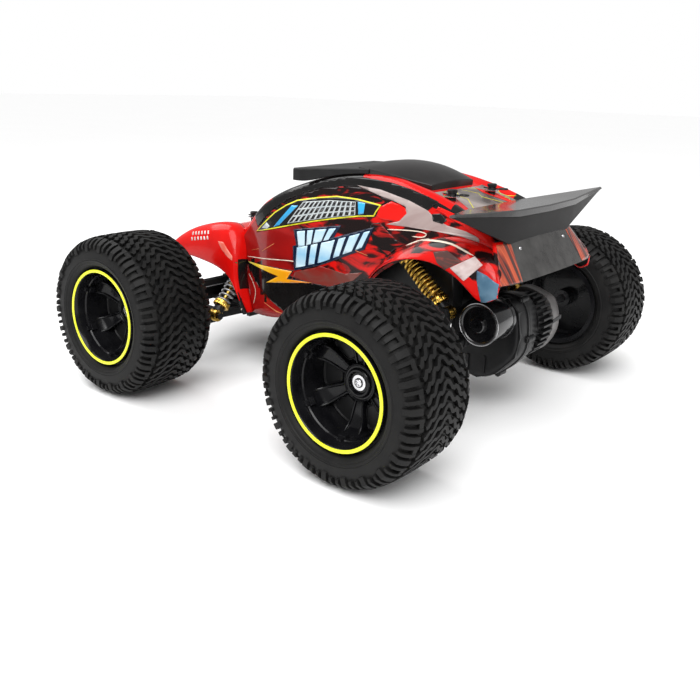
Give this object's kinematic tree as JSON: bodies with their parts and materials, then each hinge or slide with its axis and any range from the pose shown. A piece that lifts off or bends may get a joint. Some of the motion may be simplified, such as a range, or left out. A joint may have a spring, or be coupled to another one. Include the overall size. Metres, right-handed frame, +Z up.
{
  "type": "remote control car",
  "caption": "Off-road remote control buggy: polycarbonate shell, sprung front wishbones, swinging rear gearbox, steered front wheels and a geared motor drive.",
  "frame": {"origin": "on the ground midway between the axles, under the centre line", "axes": "+X towards the car's front, +Y towards its left wheels, +Z up"},
  "size_m": [0.356, 0.364, 0.1872],
  "materials": {
    "tyre_rubber": "matte moulded rubber",
    "rim_black": "gloss black, yellow ring on the lip",
    "bright_screw": "bright",
    "black_nylon": "satin moulded nylon",
    "rod_steel": "satin",
    "gold_anodised": "gold anodised",
    "spring_steel": "bright wire",
    "spring_gold": "gold wire",
    "gearbox_nylon": "satin moulded nylon",
    "black_screw": "black oxide",
    "clip_steel": "black spring wire",
    "body_paint": "red polycarbonate with printed graphics",
    "scoop_plastic": "satin black",
    "wing_plastic": "satin charcoal",
    "battery_wrap": "shrink wrap",
    "board_green": "solder mask",
    "servo_case": "satin",
    "motor_can": "gloss black can",
    "cover_nylon": "satin, finned",
    "gear_steel": "machined",
    "gear_nylon": "natural nylon"
  },
  "bodies": {
    "chassis": {"chassis_tub": "black_nylon", "battery_hatch": "black_nylon", "chassis_screws": "black_screw", "battery_pack": "battery_wrap", "circuit_board": "board_green", "front_bulkhead": "black_nylon", "suspension_pins": "rod_steel", "front_bumper": "black_nylon", "front_shock_tower": "black_nylon", "rear_shock_tower": "black_nylon", "body_posts": "black_nylon", "body_clips": "clip_steel", "body_shell": "body_paint", "roof_scoop": "scoop_plastic", "rear_wing": "wing_plastic", "steering_servo": "servo_case"},
    "front_left_arm": {"front_left_lower_arm": "black_nylon"},
    "front_left_link": {"front_left_upper_arm": "black_nylon"},
    "front_left_carrier": {"front_left_hub_carrier": "black_nylon"},
    "front_left_knuckle": {"front_left_knuckle": "black_nylon", "front_left_wheel_screw": "bright_screw"},
    "front_left_wheel": {"front_left_tyre": "tyre_rubber", "front_left_rim": "rim_black"},
    "tie_rod_left": {"tie_rod_left": "rod_steel"},
    "front_left_shock": {"front_left_shock_body": "gold_anodised", "front_left_shock_spring": "spring_steel"},
    "front_left_damper_rod": {"front_left_shock_rod": "gold_anodised"},
    "rear_left_shock": {"rear_left_shock_body": "gold_anodised", "rear_left_shock_spring": "spring_gold"},
    "rear_left_damper_rod": {"rear_left_shock_rod": "gold_anodised"},
    "front_right_arm": {"front_right_lower_arm": "black_nylon"},
    "front_right_link": {"front_right_upper_arm": "black_nylon"},
    "front_right_carrier": {"front_right_hub_carrier": "black_nylon"},
    "front_right_knuckle": {"front_right_knuckle": "black_nylon", "front_right_wheel_screw": "bright_screw"},
    "front_right_wheel": {"front_right_tyre": "tyre_rubber", "front_right_rim": "rim_black"},
    "tie_rod_right": {"tie_rod_right": "rod_steel"},
    "front_right_shock": {"front_right_shock_body": "gold_anodised", "front_right_shock_spring": "spring_steel"},
    "front_right_damper_rod": {"front_right_shock_rod": "gold_anodised"},
    "rear_right_shock": {"rear_right_shock_body": "gold_anodised", "rear_right_shock_spring": "spring_gold"},
    "rear_right_damper_rod": {"rear_right_shock_rod": "gold_anodised"},
    "steering_link": {"steering_link": "black_nylon"},
    "servo_horn": {"servo_horn": "black_nylon"},
    "rear_unit": {"gearbox_left_half": "gearbox_nylon", "gearbox_right_half": "gearbox_nylon", "motor": "motor_can", "finned_cover": "cover_nylon"},
    "rear_axle": {"rear_axle_shaft": "rod_steel", "axle_gear": "gear_nylon", "rear_left_tyre": "tyre_rubber", "rear_right_tyre": "tyre_rubber", "rear_left_rim": "rim_black", "rear_right_rim": "rim_black", "rear_wheel_screws": "bright_screw"},
    "counter_gear": {"counter_gear": "gear_nylon"},
    "motor_pinion": {"motor_pinion": "gear_steel"},
    "power_switch": {"power_switch": "black_nylon"}
  },
  "joints": [
    {"name": "front_left_suspension", "type": "hinge", "parent": "chassis", "child": "front_left_arm", "pos_m": [0.1155, 0.03, 0.043], "axis": [1, 0, 0], "range_deg": [-7, 7], "stiffness_Nm_per_rad": 2, "springref_deg": -9.17},
    {"name": "front_left_upper_arm_turn", "type": "hinge", "parent": "chassis", "child": "front_left_link", "pos_m": [0.1155, 0.03, 0.072], "axis": [1, 0, 0], "range_deg": [-7, 7]},
    {"name": "front_left_carrier_turn", "type": "hinge", "parent": "front_left_arm", "child": "front_left_carrier", "pos_m": [0.1155, 0.092, 0.043], "axis": [1, 0, 0], "range_deg": [-7, 7]},
    {"name": "front_left_steer", "type": "hinge", "parent": "front_left_carrier", "child": "front_left_knuckle", "pos_m": [0.1155, 0.106, 0.0625], "axis": [0, 0, 1], "range_deg": [-25, 25]},
    {"name": "front_left_wheel_spin", "type": "hinge", "parent": "front_left_knuckle", "child": "front_left_wheel", "pos_m": [0.1155, 0.15, 0.0625], "axis": [0, 1, 0], "continuous": true},
    {"name": "front_left_shock_swing", "type": "hinge", "parent": "chassis", "child": "front_left_shock", "pos_m": [0.097, 0.034, 0.097], "axis": [1, 0, 0], "range_deg": [-3.2, 3.2]},
    {"name": "front_left_shock_stroke", "type": "slide", "parent": "front_left_shock", "child": "front_left_damper_rod", "axis": [0, -0.6764, 0.7365], "range_m": [-0.0049, 0.0049], "deforming": ["front_left_shock_spring"]},
    {"name": "rear_left_shock_swing", "type": "hinge", "parent": "chassis", "child": "rear_left_shock", "pos_m": [-0.07, 0.05, 0.127], "axis": [0, 1, 0], "range_deg": [-3.2, 3.8]},
    {"name": "rear_left_shock_stroke", "type": "slide", "parent": "rear_left_shock", "child": "rear_left_damper_rod", "axis": [0.7237, 0, 0.6901], "range_m": [-0.0073, 0.0087], "deforming": ["rear_left_shock_spring"]},
    {"name": "tie_rod_left_lift", "type": "hinge", "parent": "steering_link", "child": "tie_rod_left", "pos_m": [0.1295, 0.034, 0.065], "axis": [1, 0, 0], "range_deg": [-6.2, 6.2]},
    {"name": "front_right_suspension", "type": "hinge", "parent": "chassis", "child": "front_right_arm", "pos_m": [0.1155, -0.03, 0.043], "axis": [-1, 0, 0], "range_deg": [-7, 7], "stiffness_Nm_per_rad": 2, "springref_deg": -9.17},
    {"name": "front_right_upper_arm_turn", "type": "hinge", "parent": "chassis", "child": "front_right_link", "pos_m": [0.1155, -0.03, 0.072], "axis": [-1, 0, 0], "range_deg": [-7, 7]},
    {"name": "front_right_carrier_turn", "type": "hinge", "parent": "front_right_arm", "child": "front_right_carrier", "pos_m": [0.1155, -0.092, 0.043], "axis": [-1, 0, 0], "range_deg": [-7, 7]},
    {"name": "front_right_steer", "type": "hinge", "parent": "front_right_carrier", "child": "front_right_knuckle", "pos_m": [0.1155, -0.106, 0.0625], "axis": [0, 0, 1], "range_deg": [-25, 25]},
    {"name": "front_right_wheel_spin", "type": "hinge", "parent": "front_right_knuckle", "child": "front_right_wheel", "pos_m": [0.1155, -0.15, 0.0625], "axis": [0, 1, 0], "continuous": true},
    {"name": "front_right_shock_swing", "type": "hinge", "parent": "chassis", "child": "front_right_shock", "pos_m": [0.097, -0.034, 0.097], "axis": [-1, 0, 0], "range_deg": [-3.2, 3.2]},
    {"name": "front_right_shock_stroke", "type": "slide", "parent": "front_right_shock", "child": "front_right_damper_rod", "axis": [0, 0.6764, 0.7365], "range_m": [-0.0049, 0.0049], "deforming": ["front_right_shock_spring"]},
    {"name": "rear_right_shock_swing", "type": "hinge", "parent": "chassis", "child": "rear_right_shock", "pos_m": [-0.07, -0.05, 0.127], "axis": [0, 1, 0], "range_deg": [-3.2, 3.8]},
    {"name": "rear_right_shock_stroke", "type": "slide", "parent": "rear_right_shock", "child": "rear_right_damper_rod", "axis": [0.7237, 0, 0.6901], "range_m": [-0.0073, 0.0087], "deforming": ["rear_right_shock_spring"]},
    {"name": "tie_rod_right_lift", "type": "hinge", "parent": "steering_link", "child": "tie_rod_right", "pos_m": [0.1295, -0.034, 0.065], "axis": [-1, 0, 0], "range_deg": [-6.2, 6.2]},
    {"name": "steering_link_slide", "type": "slide", "parent": "chassis", "child": "steering_link", "axis": [0, 1, 0], "range_m": [-0.0062, 0.0062]},
    {"name": "servo_turn", "type": "hinge", "parent": "chassis", "child": "servo_horn", "pos_m": [0.1435, 0, 0.068], "axis": [0, 0, 1], "range_deg": [-25, 25]},
    {"name": "rear_suspension", "type": "hinge", "parent": "chassis", "child": "rear_unit", "pos_m": [-0.03, 0, 0.052], "axis": [0, 1, 0], "range_deg": [-5, 6], "stiffness_Nm_per_rad": 7, "springref_deg": -1.72},
    {"name": "rear_axle_spin", "type": "hinge", "parent": "rear_unit", "child": "rear_axle", "pos_m": [-0.1155, 0, 0.0625], "axis": [0, 1, 0], "continuous": true},
    {"name": "counter_gear_spin", "type": "hinge", "parent": "rear_unit", "child": "counter_gear", "pos_m": [-0.13437, 0, 0.0614], "axis": [0, 1, 0], "continuous": true},
    {"name": "motor_spin", "type": "hinge", "parent": "rear_unit", "child": "motor_pinion", "pos_m": [-0.1345, 0, 0.0775], "axis": [0, 1, 0], "continuous": true},
    {"name": "power_switch_slide", "type": "slide", "parent": "chassis", "child": "power_switch", "axis": [1, 0, 0], "range_m": [0, 0.006]}
  ],
  "couplings": [
    {"joint": "front_left_upper_arm_turn", "follows": "front_left_suspension", "ratio": 1},
    {"joint": "front_left_carrier_turn", "follows": "front_left_suspension", "ratio": -1},
    {"joint": "front_left_shock_swing", "follows": "front_left_suspension", "ratio": 0.4426},
    {"joint": "front_left_shock_stroke", "follows": "front_left_suspension", "m_per_rad": 0.039456},
    {"joint": "rear_left_shock_swing", "follows": "rear_suspension", "ratio": 0.6218},
    {"joint": "rear_left_shock_stroke", "follows": "rear_suspension", "m_per_rad": 0.08204},
    {"joint": "tie_rod_left_lift", "follows": "front_left_suspension", "ratio": 0.8611},
    {"joint": "front_right_upper_arm_turn", "follows": "front_right_suspension", "ratio": 1},
    {"joint": "front_right_carrier_turn", "follows": "front_right_suspension", "ratio": -1},
    {"joint": "front_right_shock_swing", "follows": "front_right_suspension", "ratio": 0.4426},
    {"joint": "front_right_shock_stroke", "follows": "front_right_suspension", "m_per_rad": 0.039456},
    {"joint": "rear_right_shock_swing", "follows": "rear_suspension", "ratio": 0.6218},
    {"joint": "rear_right_shock_stroke", "follows": "rear_suspension", "m_per_rad": 0.08204},
    {"joint": "tie_rod_right_lift", "follows": "front_right_suspension", "ratio": 0.8611},
    {"joint": "front_right_steer", "follows": "front_left_steer", "ratio": 1},
    {"joint": "steering_link_slide", "follows": "front_left_steer", "m_per_rad": 0.0137},
    {"joint": "servo_turn", "follows": "front_left_steer", "ratio": -1},
    {"joint": "counter_gear_spin", "follows": "rear_axle_spin", "ratio": -2.8571},
    {"joint": "motor_spin", "follows": "rear_axle_spin", "ratio": 8.0952}
  ]
}
